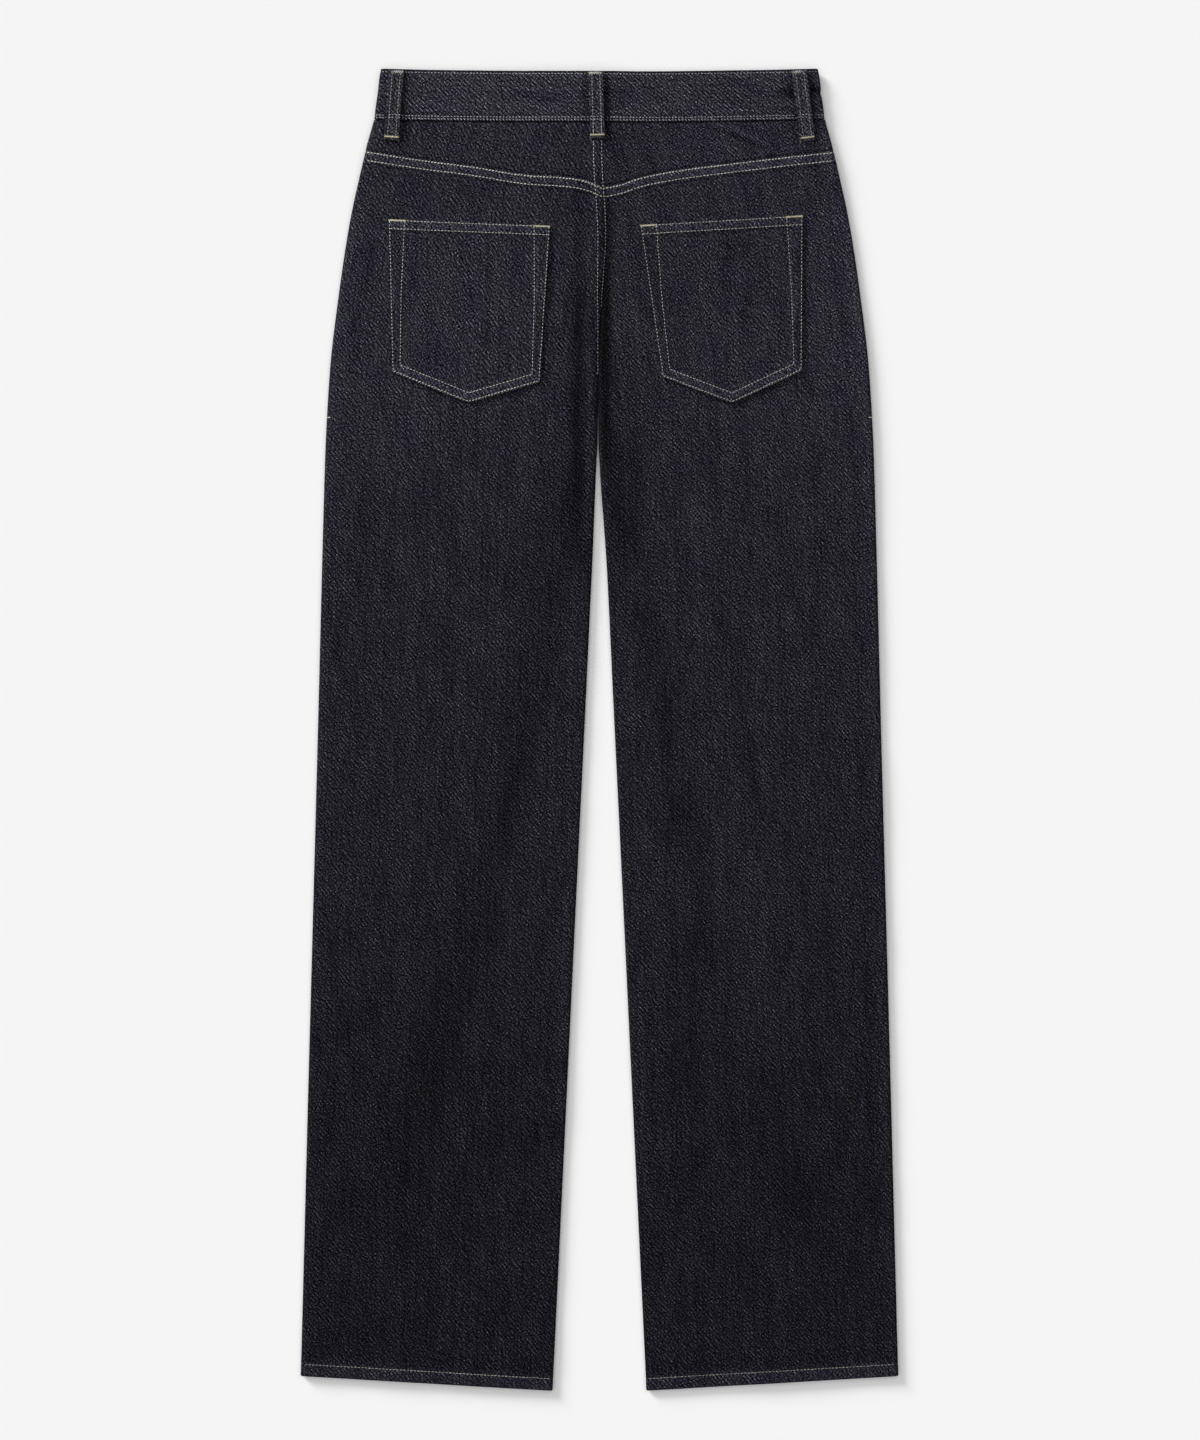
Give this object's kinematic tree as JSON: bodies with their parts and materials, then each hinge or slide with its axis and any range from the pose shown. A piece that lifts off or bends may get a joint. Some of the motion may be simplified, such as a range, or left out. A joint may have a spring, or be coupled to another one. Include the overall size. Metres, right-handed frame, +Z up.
{
  "type": "straight leg jeans",
  "caption": "Straight leg jeans in raw indigo denim, laid out flat with the back up: yokes, patch pockets, belt loops, waistband, scoop front pockets and a closed fly.",
  "frame": {"origin": "under the middle of the laid-out garment, on the surface that it lies on", "axes": "+X towards the wearer's right, +Y along the legs up to the waist, +Z up out of the back, which faces up"},
  "size_m": [0.4776, 1.0576, 0.0137],
  "materials": {
    "denim": "raw indigo twill, unwashed, dry and matt",
    "band_denim": "raw indigo twill cut across the grain, with more weft showing",
    "button_metal": "antiqued brass, satin",
    "zip_metal": "brass chain on a dark tape"
  },
  "bodies": {
    "root": {"waistband": "band_denim", "yoke_left": "denim", "yoke_right": "denim", "back_left": "denim", "back_right": "denim", "back_pocket_left": "denim", "back_pocket_right": "denim", "front_left": "denim", "front_right": "denim", "facing_left": "denim", "facing_right": "denim", "belt_loop_back": "band_denim", "belt_loop_left": "band_denim", "belt_loop_right": "band_denim", "belt_loop_front_left": "band_denim", "belt_loop_front_right": "band_denim", "button": "button_metal", "zip": "zip_metal"}
  },
  "joints": []
}
